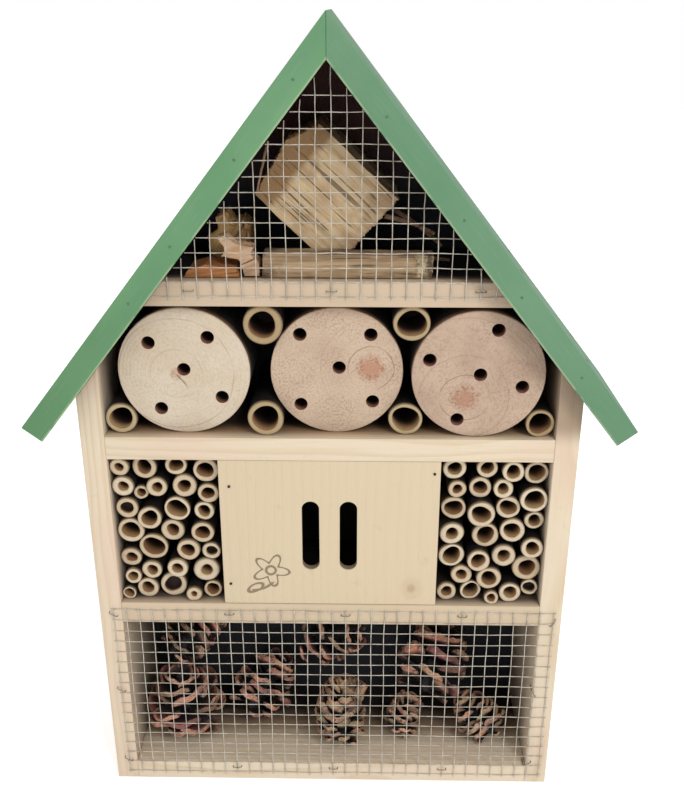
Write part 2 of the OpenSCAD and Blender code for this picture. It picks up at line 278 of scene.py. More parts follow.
def shaded_inside(f, colour, height):
    """Little light reaches the inner faces, and the eaves shade the top of the outer edge."""
    inward = f.y - BODY_FRONT
    inner = (f.x.math("ABSOLUTE") - INNER_HALF).fade(0.0002, 0.0008)
    colour = f.mix(inner * inward.band(0.0005, 0.0305) * 0.9, colour, rgb(66, 46, 40))
    canes = f.z.band(0.140, 0.144) * inward.band(0.0005, 0.0085)
    colour = f.mix(inner * canes * 0.85, colour, rgb(50, 34, 26))
    eaves = f.z.band(0.258, 0.274) * (f.x.band(-0.1, 0.1) * 0.66 + 0.06)
    return f.mix(eaves, colour, rgb(150, 122, 94)), height


for side, name in ((-1, "left_side_board"), (1, "right_side_board")):
    low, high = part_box(name)
    outer = high.z - (high.x - low.x) * ROOF_SLOPE
    tops = (outer, high.z) if side < 0 else (high.z, outer)
    board = plank(name + "_pine", [(low.x, low.z), (high.x, low.z), (high.x, tops[1]),
                                   (low.x, tops[0])], low.y, high.y)
    finish = pine("pine_" + name, 2, (side * 0.132, 0.05 * side), ring=0.0036, blush=0.55,
                  extra=shaded_inside)
    fit_in(board, finish, "pine_board", name)

# ---- Base board and shelves ----
# Pine boards fitted between the side boards and nailed through them from outside. The attic
# shelf is longer, and its ends are bevelled so that the roof boards lie flat on them.


def top_of(name):
    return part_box(name)[1].z


def shaded_top(top, start, end, near, far):
    """The top of a board turns from near to far as it runs back into an unlit chamber."""
    reach = end - start

    def shade(f, colour, height):
        face = (f.z - top).band(-0.0005, -0.0001)
        colour = f.mix(face * (f.y - start).band(0.0, reach * 0.5) * 0.9, colour, near)
        return f.mix(face * (f.y - start).band(reach * 0.3, reach), colour, far), height

    return shade


def unlit_chamber(f, colour, height):
    """Little light gets in over the shelf under the canes, and almost none behind the panel."""
    inward = f.y - BODY_FRONT
    top = f.z.band(0.1445, 0.1455)
    colour = f.mix(top * inward.band(-0.0005, 0.0095) * 0.9, colour, rgb(70, 48, 34))
    behind = inward.band(0.004, 0.006) * f.x.math("ABSOLUTE").fade(0.0535, 0.0545)
    return f.mix(behind * top, colour, rgb(26, 16, 12)), height


# heart of the rings in Y and Z, width of a ring, blush, pale wood, and what light does to it
FLAT_BOARDS = {
    "base_board": (
        (0.034, -0.012), 0.0040, 0.25, rgb(244, 226, 198),
        shaded_top(top_of("base_board"), -0.018, 0.026, rgb(166, 134, 104), rgb(36, 28, 28))),
    "lower_shelf": ((-0.046, 0.118), 0.0034, 0.25, rgb(220, 199, 169), unlit_chamber),
    "middle_shelf": (
        (0.012, 0.279), 0.0030, 0.35, rgb(240, 222, 194),
        shaded_top(top_of("middle_shelf"), -0.038, -0.012, rgb(166, 124, 82), rgb(60, 40, 30))),
    # The attic shelf's wood is painted darker than the other boards, as shade under the roof and
    # the mesh.
    "attic_shelf": (
        (-0.05, 0.332), 0.0036, 0.2, rgb(210, 188, 160),
        shaded_top(top_of("attic_shelf"), -0.034, -0.022, rgb(120, 96, 76), rgb(28, 24, 26))),
}
for name, (heart, ring, blush, pale, extra) in FLAT_BOARDS.items():
    low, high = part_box(name)
    run = (high.z - low.z) / ROOF_SLOPE if name == "attic_shelf" else 0.0
    board = plank(name + "_pine", [(low.x, low.z), (high.x, low.z), (high.x - run, high.z),
                                   (low.x + run, high.z)], low.y, high.y, 0.0005)
    fit_in(board, pine("pine_" + name, 0, heart, pale=pale, ring=ring, blush=blush, extra=extra),
           "pine_board", name)

# ---- Back panel and dividers ----
# A thin board with a dark stain closes the back; the CAD shape is right, so it only gets its
# finish. Two short pine boards inside hold the canes back and carry the butterfly panel.


def dark_stain():
    f = Finish("dark_stained_board")
    fibre = f.noise(1.0, 3.0, 0.6, at=f.stretch((700.0, 700.0, 34.0)))
    cloud = f.noise(22.0, 3.0)
    colour = f.mix(cloud.band(0.3, 0.75), rgb(15, 24, 36), rgb(26, 23, 32))
    front_face = 1.0 - (f.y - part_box("back_panel")[0].y).band(0.0005, 0.001)
    # The front face turns reddish brown near the top.
    colour = f.mix(f.z.band(0.39, 0.44) * front_face, colour, rgb(92, 50, 44))
    colour = f.mix(fibre.band(0.5, 0.8) * 0.3, colour, rgb(52, 40, 42))
    return f.done(colour, 0.7 + 0.15 * fibre, fibre, 0.0003)


def refinish(finish, *names):
    """CAD nodes whose shape is already right get only a better surface."""
    for name in names:
        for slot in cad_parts[name].material_slots:
            slot.material = finish


refinish(dark_stain(), "back_panel")
refinish(pine("pine_dividers", 2, (0.03, 0.06)), "left_divider", "right_divider")

# ---- Butterfly panel ----
# A sanded plywood sheet pinned over the middle of the cane chamber. Two upright round-ended
# slots let butterflies in, and a small flower is burned into the lower left corner.


FLOWER_X, FLOWER_Z, FLOWER_SCALE = -0.0375, 0.1712, 0.76


def burned_flower_and_slot_shade(f, colour, height):
    """A five-petalled flower on a bent stem with one leaf, drawn with a hot iron. The edges and
    slot walls behind the front face are painted dark as shade.
    """
    x, z = (f.x - FLOWER_X) * FLOWER_SCALE, (f.z - FLOWER_Z) * FLOWER_SCALE
    shake = (f.noise(220.0, 2.0) - 0.5) * 0.0007

    def line(away, half=0.00085):
        return 1.0 - (away + shake).math("ABSOLUTE").band(half * 0.45, half)

    radius = distance(x, z)
    petal = 0.0066 + 0.0024 * (z.math("ARCTAN2", x) * 5.0 + 0.6).math("COSINE")
    stem = line(distance(x + 0.0097, z - 0.0027) - 0.0142)
    stem = stem * (1.0 - (z + 0.0065).band(-0.0006, 0.0002)) * (x + 0.0097).band(-0.0002, 0.0006)
    lx, lz = (x + 0.0077) * 0.86 + (z + 0.0099) * 0.5, (z + 0.0099) * 0.86 - (x + 0.0077) * 0.5
    leaf = line(distance(lx, lz * 2.1) - 0.0040, 0.0012)
    burn = line(radius - petal).math("MAXIMUM", line(radius - 0.0023))
    burn = burn.math("MAXIMUM", stem).math("MAXIMUM", leaf)
    inward = f.y - BODY_FRONT
    burn = burn * inward.fade(0.0012, 0.0016)
    # Painted shade: the edges and slot walls behind the front face turn dark brown.
    colour = f.mix(inward.band(0.001, 0.0018) * 0.75, colour, rgb(116, 92, 70))
    return f.mix(burn * 0.8, colour, rgb(124, 96, 66)), height - burn * 1.6


low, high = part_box("butterfly_panel")
panel = plank("butterfly_panel_sheet", [(low.x, low.z), (high.x, low.z), (high.x, high.z),
                                        (low.x, high.z)], low.y, high.y, 0.0004)
SLOT_X, SLOT_Z, SLOT_HALF, SLOT_R = 0.0118, 0.1965, 0.019, 0.0055
for side in (-1, 1):
    cutter = cylinder(40, SLOT_R, 0.03, (0, low.y, 0))
    for v in cutter.data.vertices:
        v.co.x += side * SLOT_X
        v.co.z += SLOT_Z + (SLOT_HALF if v.co.z > 1e-5 else -SLOT_HALF)
    apply_modifier(panel, "BOOLEAN", operation="DIFFERENCE", object=cutter, solver="EXACT")
    bpy.data.objects.remove(cutter)
finish = pine("sanded_plywood", 2, (0.11, 0.02), pale=rgb(228, 209, 175), late=rgb(213, 189, 150),
              ring=0.0052, blush=0.15, figure=0.1, knot=[((0.052, low.y, 0.1585), 0.0042)],
              extra=burned_flower_and_slot_shade)
fit_in(panel, finish, "plywood", "butterfly_panel")

# ---- Roof ----
# Two thick boards, brushed with thin green stain, meet in a mitre at the ridge and are nailed
# down on the side boards and the attic shelf. The grain shows through and the stain is worn in
# places. The edge between front and underside carries a painted highlight with rubbed wear, and
# the undersides inside the attic are painted dark as shade.


def green_stain(name, side, ridge, dull, bright, lower):
    """The stain over the grain of one board; inside the attic the underside is painted dark as
    shade.
    """
    f = Finish(name)
    slant = ROOF_ANGLE * side
    run = f.x * math.cos(slant) - f.z * math.sin(slant)
    rise = f.x * math.sin(slant) + f.z * math.cos(slant)
    fibre = f.noise(1.0, 4.0, 0.62, at=f.point(run * 34.0, f.y * 620.0, rise * 620.0))
    streak = f.noise(1.0, 3.0, 0.5, at=f.point(run * 6.0, f.y * 60.0, rise * 60.0))
    cloud = f.noise(13.0, 3.0, 0.5, at=f.stretch((1, 1, 1), (0.3 * side, 0.2, 0.0)))
    colour = f.mix(cloud.band(0.35, 0.7), dull, bright)
    colour = f.mix(f.z.fade(0.29, 0.40) * 0.6, colour, lower)
    colour = f.mix(streak.band(0.45, 0.75) * 0.35, colour, rgb(92, 142, 104))
    colour = f.mix(fibre.band(0.52, 0.8) * 0.25, colour, rgb(146, 182, 142))
    worn = f.noise(55.0, 5.0, 0.7).band(0.64, 0.78)
    colour = f.mix(worn * 0.2, colour, rgb(154, 178, 128))
    speck = 1.0 - f.cells(52.0).band(0.02, 0.05)
    colour = f.mix(speck * 0.4, colour, rgb(58, 96, 66))
    above, inward = rise - ridge * math.cos(slant), f.y - ROOF_FRONT
    # Partly rubbed stain and partly a painted highlight: a pale patchy line along the edge between
    # the front and the underside.
    rubbed_edge_highlight = above.fade(0.0004, 0.0014) * inward.fade(0.0006, 0.0012)
    colour = f.mix(rubbed_edge_highlight * f.noise(90.0, 2.0).band(0.3, 0.5) * 0.6, colour, rgb(186, 204, 160))
    # Painted shade: the underside inside the attic is painted dark.
    indoors_shade = above.fade(0.0002, 0.0008) * inward.band(0.0010, 0.0018)
    indoors_shade = indoors_shade * f.x.math("ABSOLUTE").fade(0.148, 0.152)
    colour = f.mix(indoors_shade, colour, rgb(52, 34, 34))
    return f.done(colour, 0.55 + 0.2 * fibre, fibre + streak * 0.4, 0.00028)


# dull, bright and low on the board, for the left and the right board
STAIN_TONES = {-1: (rgb(96, 150, 102), rgb(111, 162, 113), rgb(84, 136, 84)),
               1: (rgb(97, 145, 106), rgb(110, 155, 117), rgb(96, 144, 106))}
ROOF_THICK, BRAD_HEADS_PROUD = 0.0145, 0.00012
for side, name in ((-1, "left_roof_board"), (1, "right_roof_board")):
    low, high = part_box(name)
    ridge = high.z - ROOF_THICK / math.cos(ROOF_ANGLE)
    out = high.x if side > 0 else low.x
    eave = high.z - abs(out) * ROOF_SLOPE
    foot = (out - side * ROOF_THICK * math.sin(ROOF_ANGLE), low.z)
    right = [(0.0, ridge), foot, (out, eave), (0.0, high.z)]
    left = [foot, (0.0, ridge), (0.0, high.z), (out, eave)]
    board = plank(name + "_stained", right if side > 0 else left, low.y + BRAD_HEADS_PROUD,
                  high.y, 0.0005)
    finish = green_stain("green_stain_" + name, side, ridge, *STAIN_TONES[side])
    fit_in(board, finish, "green_stain", name)

# ---- Drilled logs ----
# Three lengths of peeled trunk, sawn square and drilled with blind nesting holes. The left one
# is a pale wood with a small checked pith; the other two have a ruddy heart and a rough cut.


def log_wood(node, heart, fresh, shade, blotch, size, arcs, cut, grain, check=None):
    """Sawn end grain about the heart; the round of the log darkens away from the light."""
    f = Finish(node + "_wood")
    x, z = f.x - heart[0], f.z - heart[1]
    sway = f.noise(30.0, 2.0) - 0.5
    away = distance(x, z) + sway * 0.004
    rings = (away / 0.0023).math("FRACT")
    late = rings.band(0.5, 0.9) * rings.fade(0.92, 1.0)
    cloud = f.noise(34.0, 3.0)
    patches = f.noise(46.0, 2.0).band(0.42, 0.6)
    grit = f.noise(800.0, 3.0, 0.7)
    c, s = math.cos(math.radians(cut)), math.sin(math.radians(cut))
    kerf = f.noise(1.0, 2.0, at=f.point((f.x * c + f.z * s) * 620.0, (f.z * c - f.x * s) * 60.0,
                                        f.y * 60.0))
    colour = f.mix(cloud.band(0.35, 0.7), fresh, shade)
    colour = f.mix(late * 0.045, colour, rgb(176, 138, 108))
    rough = 0.12 + (0.35 + patches * 0.65) * grain
    colour = f.mix(grit.band(0.46, 0.62) * rough, colour, rgb(152, 116, 92))
    colour = f.mix(kerf.band(0.55, 0.75) * (0.1 + patches * 0.12), colour, rgb(240, 222, 202))
    for radius, strength in arcs:
        line = 1.0 - (away - radius).math("ABSOLUTE").band(0.00005, 0.0005)
        line = line * f.noise(60.0, 1.0).band(0.3, 0.55)
        colour = f.mix(line * strength, colour, rgb(150, 116, 86))
    fray = f.noise(420.0, 4.0, 0.7) - 0.5
    core = 1.0 - (away + fray * size * 2.2).band(size * 0.35, size * 1.1)
    colour = f.mix(core * 0.6, colour, blotch)
    fleck = f.noise(700.0, 2.0, 0.6).band(0.5, 0.62) * away.band(size * 0.3, size * 0.6)
    fleck = fleck * away.fade(size * 0.7, size * 1.2)
    colour = f.mix(fleck * 0.5, colour, rgb(132, 88, 56))
    height = grit * (0.4 + grain) + kerf * 0.4 + late * 0.1
    if check:
        (cx, cz), length = check
        along = x * cx + z * cz
        side = z * cx - x * cz + (f.noise(240.0, 2.0) - 0.5) * 0.0016
        crack = (1.0 - side.math("ABSOLUTE").band(0.0001, 0.0006)) * along.band(0.0, 0.001)
        crack = crack * along.fade(length * 0.6, length)
        colour = f.mix(crack * 0.6, colour, rgb(128, 94, 68))
        height = height - crack
    inward = f.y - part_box(node)[0].y
    colour = f.mix(inward.band(0.0007, 0.0024), colour, rgb(126, 90, 62))
    colour = f.mix(inward.band(0.0025, 0.009), colour, rgb(20, 13, 11))
    return f.done(colour, 0.78 + 0.12 * grit, height, 0.0005)


def drill_wall(node):
    f = Finish(node + "_hole_wall")
    char = f.noise(300.0, 3.0)
    colour = f.mix(char.band(0.35, 0.7), rgb(176, 122, 98), rgb(140, 90, 70))
    # Painted shade: the hole wall turns near black further in.
    colour = f.mix((f.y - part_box(node)[0].y).band(0.0012, 0.008), colour, rgb(62, 28, 16))
    return f.done(colour, 0.8, char, 0.0003)


# centres of the holes from the middle of each log, in mm
LOG_HOLES = {
    "left_log": ((-20, 18), (15, 21.5), (0, 1.5), (-15, -23.5), (22, -16)),
    "middle_log": ((-21.5, 23), (-21.5, -21), (20, 23), (1.5, 2.5), (21.5, -19)),
    "right_log": ((10, 28), (-29, 9.5), (1, 0.5), (26, -7), (-11.5, -28)),
}
LOG_FINISH = {
    "left_log": log_wood("left_log", (-0.0905, 0.3020), rgb(229, 213, 190), rgb(223, 203, 174),
                         rgb(198, 150, 126), 0.0042, [(0.0150, 0.35), (0.0345, 0.4), (0.0275, 0.1)],
                         25, 0.06, check=((0.6, -0.8), 0.012)),
    "middle_log": log_wood("middle_log", (0.0248, 0.3056), rgb(220, 194, 168), rgb(208, 180, 154),
                           rgb(184, 112, 72), 0.0086, [(0.0134, 0.8), (0.0300, 0.2)], -64, 0.42),
    "right_log": log_wood("right_log", (0.0800, 0.2894), rgb(212, 184, 160), rgb(194, 166, 142),
                          rgb(174, 112, 76), 0.0092, [(0.0146, 0.8), (0.0265, 0.45), (0.0490, 0.4)],
                          32, 0.32),
}
HOLE_RADIUS, HOLE_DEPTH = 0.004, 0.060
for name, holes in LOG_HOLES.items():
    low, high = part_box(name)
    middle, radius = (low + high) / 2, (high.x - low.x) / 2
    log = cylinder(160, radius, high.y - low.y, middle)
    log.name = name + "_drilled"
    for v in log.data.vertices:
        dx, dz = v.co.x - middle.x, v.co.z - middle.z
        turn = math.atan2(dz, dx)
        dent = noise.noise(Vector((math.cos(turn), math.sin(turn), middle.x * 40)) * 1.6)
        nick = abs(noise.noise(Vector((turn * 9, 0, middle.x))))
        shrink = 1 - 0.010 * (0.5 + 0.5 * dent) - 0.003 * nick
        v.co.x, v.co.z = middle.x + dx * shrink, middle.z + dz * shrink
    apply_modifier(log, "BEVEL", width=0.0007, segments=3, limit_method="ANGLE")
    centres = [(middle.x + dx / 1000, middle.z + dz / 1000) for dx, dz in holes]
    depth = HOLE_DEPTH + 0.01
    cutters = [cylinder(32, HOLE_RADIUS, depth, (x, low.y - 0.01 + depth / 2, z))
               for x, z in centres]
    for cutter in cutters:
        cutter.select_set(True)
    bpy.ops.object.join()
    cutter = bpy.context.object
    apply_modifier(log, "BOOLEAN", operation="DIFFERENCE", object=cutter, solver="EXACT")
    bpy.data.objects.remove(cutter)
    fit_in(log, [LOG_FINISH[name], drill_wall(name)], "log_wood", name)
    for face in log.data.polygons:
        centre = face.center
        inside = any(math.hypot(centre.x - x, centre.z - z) < HOLE_RADIUS + 0.0002
                     for x, z in centres)
        face.material_index = 1 if inside and centre.y > low.y + 0.0004 else 0

# ---- Canes ----
# Dry natural canes, sawn to one length and packed so that they wedge each other in place. Each
# is a little out of round, with a pale cut end, a tan skin and a brown bore; skin and bore are
# painted near black further in as shade.

CANE_LENGTH, BLANK_R, BLANK_BORE, BORE_DEPTH = 0.074, 0.01, 0.005, 0.042


def cane_blank():
    """One cane at a nominal size with its mouth at Y = 0; the copies are reshaped from it."""
    blank = cylinder(32, BLANK_R, CANE_LENGTH, (0, CANE_LENGTH / 2, 0))
    mode("EDIT")
    bpy.ops.mesh.select_mode(type="FACE")
    bpy.ops.mesh.select_all(action="DESELECT")
    mode("OBJECT")
    for face in blank.data.polygons:
        face.select = face.normal.y < -0.9
    mode("EDIT")
    bpy.ops.mesh.inset(thickness=BLANK_R - BLANK_BORE)
    bpy.ops.mesh.extrude_region_move(TRANSFORM_OT_translate={"value": (0, 0.012, 0)})
    bpy.ops.mesh.extrude_region_move(TRANSFORM_OT_translate={"value": (0, 0.030, 0)})
    bpy.ops.mesh.inset(thickness=BLANK_BORE * 0.5)
    bpy.ops.mesh.select_all(action="DESELECT")
    bpy.ops.mesh.select_mode(type="EDGE")
    mode("OBJECT")
    points = blank.data.vertices
    for edge in blank.data.edges:
        ends = [points[i].co for i in edge.vertices]
        level = all(p.y < 1e-5 for p in ends)
        radii = [math.hypot(p.x, p.z) for p in ends]
        edge.select = level and (min(radii) > BLANK_R * 0.99 or max(radii) < BLANK_BORE * 1.01)
    mode("EDIT")
    bpy.ops.mesh.bevel(offset=0.0011, segments=3)
    mode("OBJECT")
    # share of the wall and of the bore at each point; skin 0, cut end 1 or bore 2 of each face
    wall = blank.data.attributes.new("wall", "FLOAT", "POINT")
    depth = blank.data.attributes.new("depth", "FLOAT", "POINT")
    kind = blank.data.attributes.new("kind", "INT", "FACE")
    for v in blank.data.vertices:
        reach = math.hypot(v.co.x, v.co.z)
        wall.data[v.index].value = (reach - BLANK_BORE) / (BLANK_R - BLANK_BORE)
        depth.data[v.index].value = v.co.y / BORE_DEPTH
    for face in blank.data.polygons:
        reach = math.hypot(face.center.x, face.center.z)
        kind.data[face.index].value = 2 if reach < BLANK_BORE and face.center.y > 0.0003 else (
            1 if face.center.y < 0.0004 else 0)
    return blank


def cane_skin():
    f = Finish("cane_skin")
    tone, depth = f.attribute("tone"), f.attribute("depth")
    fibre = f.noise(1.0, 3.0, 0.6, at=f.stretch((700.0, 22.0, 700.0)))
    colour = f.mix(tone, rgb(176, 150, 112), rgb(146, 120, 88))
    colour = f.mix(fibre.band(0.45, 0.8) * 0.5, colour, rgb(112, 86, 58))
    # Painted shade: the skin turns near black a few mm behind the cut end.
    colour = f.mix(depth.band(0.0, 0.075), colour, rgb(20, 13, 10))
    return f.done(colour, 0.45 + 0.25 * fibre, fibre, 0.0002)


def cane_end(name, light, dark):
    f = Finish(name)
    tone, wall = f.attribute("tone"), f.attribute("wall")
    pores = f.cells(1500.0)
    fuzz = f.noise(520.0, 3.0, 0.65)
    colour = f.mix(tone, light, dark)
    colour = f.mix(pores.fade(0.1, 0.42) * 0.2, colour, rgb(160, 132, 98))
    colour = f.mix(fuzz.band(0.48, 0.75) * 0.35, colour, rgb(196, 168, 130))
    colour = f.mix(wall.band(0.66, 0.98) * 0.85, colour, rgb(124, 100, 70))
    colour = f.mix(wall.fade(0.0, 0.3) * 0.45, colour, rgb(176, 136, 92))
    return f.done(colour, 0.72 + 0.1 * fuzz, fuzz + pores * 0.5, 0.0003)


def cane_bore():
    f = Finish("cane_bore")
    tone, depth = f.attribute("tone"), f.attribute("depth")
    fibre = f.noise(1.0, 3.0, 0.6, at=f.stretch((500.0, 60.0, 500.0)))
    colour = f.mix(tone, rgb(210, 168, 116), rgb(168, 118, 76))
    # Painted shade: the bore turns near black deeper in.
    colour = f.mix(depth.band(0.0, 0.4), colour, rgb(48, 25, 11))
    colour = f.mix(fibre.band(0.5, 0.8) * 0.25, colour, rgb(104, 66, 38))
    return f.done(colour, 0.7 + 0.1 * fibre, fibre, 0.0002)


SKIN, BORE = cane_skin(), cane_bore()
# finishes of a cane, by whether it is one of the large ones
CANE_FINISH = {
    False: [SKIN, cane_end("cane_cut_end", rgb(233, 216, 187), rgb(216, 193, 160)), BORE],
    True: [SKIN, cane_end("large_cane_cut_end", rgb(200, 179, 138), rgb(176, 150, 108)), BORE],
}


def tubes_of(name):
    """Middle, outer radius, bore radius and front of each tube in a CAD node."""
    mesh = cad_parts[name].data
    place = [tuple(round(c, 6) for c in v.co) for v in mesh.vertices]
    group = {p: p for p in place}

    def head(p):
        while group[p] != p:
            group[p] = group[group[p]]
            p = group[p]
        return p

    for face in mesh.polygons:
        first = head(place[face.vertices[0]])
        for i in face.vertices[1:]:
            group[head(place[i])] = first
    islands = {}
    for p in group:
        islands.setdefault(head(p), []).append(p)
    tubes = []
    for points in islands.values():
        co = np.array(points)
        x, z = (co[:, 0].min() + co[:, 0].max()) / 2, (co[:, 2].min() + co[:, 2].max()) / 2
        reach = np.hypot(co[:, 0] - x, co[:, 2] - z)
        tubes.append((x, z, reach.max(), reach.min(), co[:, 1].min()))
    return sorted(tubes)


def cane(blank, dice, tube, name):
    """A copy of the blank, reshaped to one tube."""
    x, z, outer, bore, front = tube
    bore *= 1.1
    piece = add_piece(name, blank.data.copy())
    points = np.empty(len(piece.data.vertices) * 3)
    piece.data.vertices.foreach_get("co", points)
    points = points.reshape(-1, 3)
    radius = np.hypot(points[:, 0], points[:, 2])
    turn = np.arctan2(points[:, 2], points[:, 0])
    share = np.clip((radius - BLANK_BORE) / (BLANK_R - BLANK_BORE), -1, 1)
    a, b, c, d = [dice.uniform(0, math.tau) for _ in range(4)]
    round_out = 0.978 + 0.014 * np.cos(2 * turn + a) + 0.008 * np.cos(3 * turn + b)
    round_in = 0.95 + dice.uniform(0.02, 0.10) * np.cos(2 * turn + c)
    mouth = bore * (round_in + 0.03 * np.cos(3 * turn + d))
    shift = (outer - bore) * dice.uniform(0.0, 0.14)
    new = np.where(share >= 0, mouth + share * (outer * round_out - mouth),
                   radius / BLANK_BORE * mouth)
    inward = np.clip(1 - share, 0, 1)
    px = new * np.cos(turn) + shift * math.cos(a) * inward
    pz = new * np.sin(turn) + shift * math.sin(a) * inward
    plug = 0.16 if dice.random() < 0.12 else dice.uniform(0.7, 1.0)
    inside = (share < 0.01) & (points[:, 1] > 0.002)
    py = np.where(inside, points[:, 1] * plug, points[:, 1])
    tilt = (px * math.cos(b) + pz * math.sin(b)) / outer * dice.uniform(0.0, 0.0007)
    rough = 0.00018 * np.cos(5 * turn + a) * np.cos(turn + c)
    near = np.clip(1 - py / 0.01, 0, 1)
    py = np.clip(py + (tilt + rough + 0.0008) * near, 0, None)
    piece.data.vertices.foreach_set("co", np.stack([x + px, front + py, z + pz], 1).ravel())
    tone = piece.data.attributes.new("tone", "FLOAT", "POINT")
    tone.data.foreach_set("value", np.full(len(points), dice.random(), np.float32))
    return piece


BLANK = cane_blank()
CANE_NODES = [name for name in sorted(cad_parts) if "cane" in name]
for name in CANE_NODES:
    dice = random.Random(name)
    copies = [cane(BLANK, dice, tube, name + "_natural") for tube in tubes_of(name)]
    deselect()
    for piece in copies:
        piece.select_set(True)
    bpy.context.view_layer.objects.active = copies[0]
    if len(copies) > 1:
        bpy.ops.object.join()
    row = bpy.context.object
    row.name = name + "_natural"
    fit_in(row, CANE_FINISH["large" in name], "cane", name)
    kinds = [kind.value for kind in row.data.attributes["kind"].data]
    row.data.polygons.foreach_set("material_index", kinds)
bpy.data.objects.remove(BLANK)

# ---- Pine cones ----
# Dry open cones dropped loose into the bottom chamber. Woody scales sit in spirals on a core,
# dark ruddy brown inside and paler at their thick outer ends; near the core they are painted
# almost black as shade.

# turn in degrees, width and length in mm, number of scales, how far they stand open, and how
# ruddy the wood is
CONES = {
    "front_left_pine_cone": ((4, -6, 12), 64, 56, 36, 1.05, 0.7),
    "upper_left_pine_cone": ((-20, 64, 12), 42, 60, 36, 0.95, 0.5),
    "left_middle_pine_cone": ((-24, 34, 0), 54, 62, 38, 1.1, 0.95),
    "front_middle_pine_cone": ((-8, 4, 0), 44, 60, 90, 0.5, 0.2),
    "small_pine_cone": ((-28, 22, -20), 36, 40, 54, 0.6, 0.35),
    "large_right_pine_cone": ((-42, 26, 0), 66, 72, 34, 1.15, 0.9),
    "front_right_pine_cone": ((-24, -42, 12), 42, 48, 44, 0.95, 0.3),
    "back_middle_pine_cone": ((24, 66, 16), 48, 60, 26, 1.0, 0.7),
}


def cone_scale():
    """One scale, 1 long from the core outwards along X: a cupped fan with a thick blunt end."""
    deselect()
    bpy.ops.mesh.primitive_grid_add(x_subdivisions=6, y_subdivisions=5, size=1)
    blank = bpy.context.object
    for v in blank.data.vertices:
        s, t = v.co.x + 0.5, v.co.y * 2
        width = 0.10 + 0.32 * min(s / 0.72, 1) ** 1.4
        width *= math.sqrt(max(0.0, 1 - max(0, s - 0.70) ** 2 / 0.12))
        v.co = (s * (1 - 0.07 * t * t), width * t,
                0.10 * s * s + 0.10 * t * t * s - 0.05 * max(0, s - 0.8))
    apply_modifier(blank, "SOLIDIFY", thickness=0.07, offset=-1.0)
    points, faces = [], [tuple(face.vertices) for face in blank.data.polygons]
    half = len(blank.data.vertices) // 2
    for k, v in enumerate(blank.data.vertices):
        x, y, z = v.co
        swell = 0.11 * max(0.0, min(1.0, (x - 0.55) / 0.35)) if k >= half else 0.0
        points.append((x - swell * 0.4, y, z - swell))
    bpy.data.objects.remove(blank)
    return np.array(points), faces


def cone_wood():
    f = Finish("pine_cone_scales")
    rim, edge, tone, age = [f.attribute(key) for key in ("rim", "edge", "tone", "age")]
    fibre = f.noise(420.0, 4.0, 0.65)
    cloud = f.noise(75.0, 3.0)
    inner = f.mix(tone, rgb(92, 64, 44), f.mix(age, rgb(116, 52, 42), rgb(84, 34, 42)))
    outer = f.mix(tone, rgb(180, 138, 94), f.mix(age, rgb(246, 152, 108), rgb(178, 88, 92)))
    cream = f.mix(tone, rgb(214, 188, 146), rgb(246, 200, 172))
    # Painted shade: each scale is almost black near the core, turning to the ruddy wood further
    # out.
    colour = f.mix(rim.band(0.46, 0.88), rgb(16, 7, 10), inner)
    colour = f.mix(rim.band(0.7, 0.95) * cloud.band(0.4, 0.58) * (1.0 - age * 0.5), colour, outer)
    colour = f.mix(edge * fibre.band(0.36, 0.58) * (0.9 - age * 0.75), colour, cream)
    colour = f.mix(fibre.band(0.5, 0.7) * 0.65, colour, rgb(44, 20, 24))
    return f.done(colour, 0.55 + 0.25 * fibre, fibre + cloud * 0.5, 0.0011)


def girth(t):
    return math.sin(math.radians(28 + 147 * t ** 0.75))


